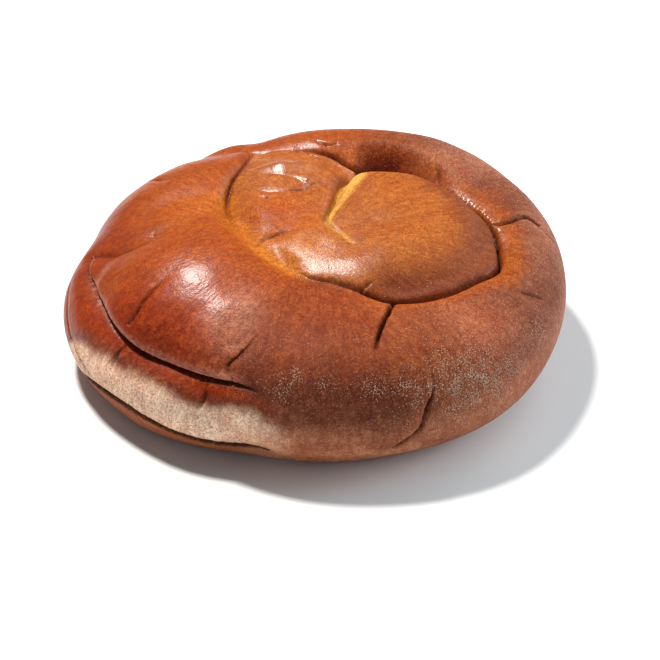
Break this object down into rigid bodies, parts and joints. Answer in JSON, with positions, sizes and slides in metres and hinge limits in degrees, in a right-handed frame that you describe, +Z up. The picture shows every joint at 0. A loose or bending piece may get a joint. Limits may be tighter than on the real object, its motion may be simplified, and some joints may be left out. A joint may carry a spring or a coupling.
{
  "type": "round challah",
  "caption": "Round coiled challah loaf with a glossy brown crust, a raised knob at the end of the coil, folded seams and a flat base.",
  "frame": {"origin": "on the flat base, under the middle of the loaf's outline", "axes": "+Z up; +X to the right and +Y away from the viewer, seen from the side of the tucked tail and the front crack"},
  "size_m": [0.2219, 0.2102, 0.0718],
  "materials": {
    "crust": null
  },
  "bodies": {
    "root": {"challah_loaf": "crust"}
  },
  "joints": []
}
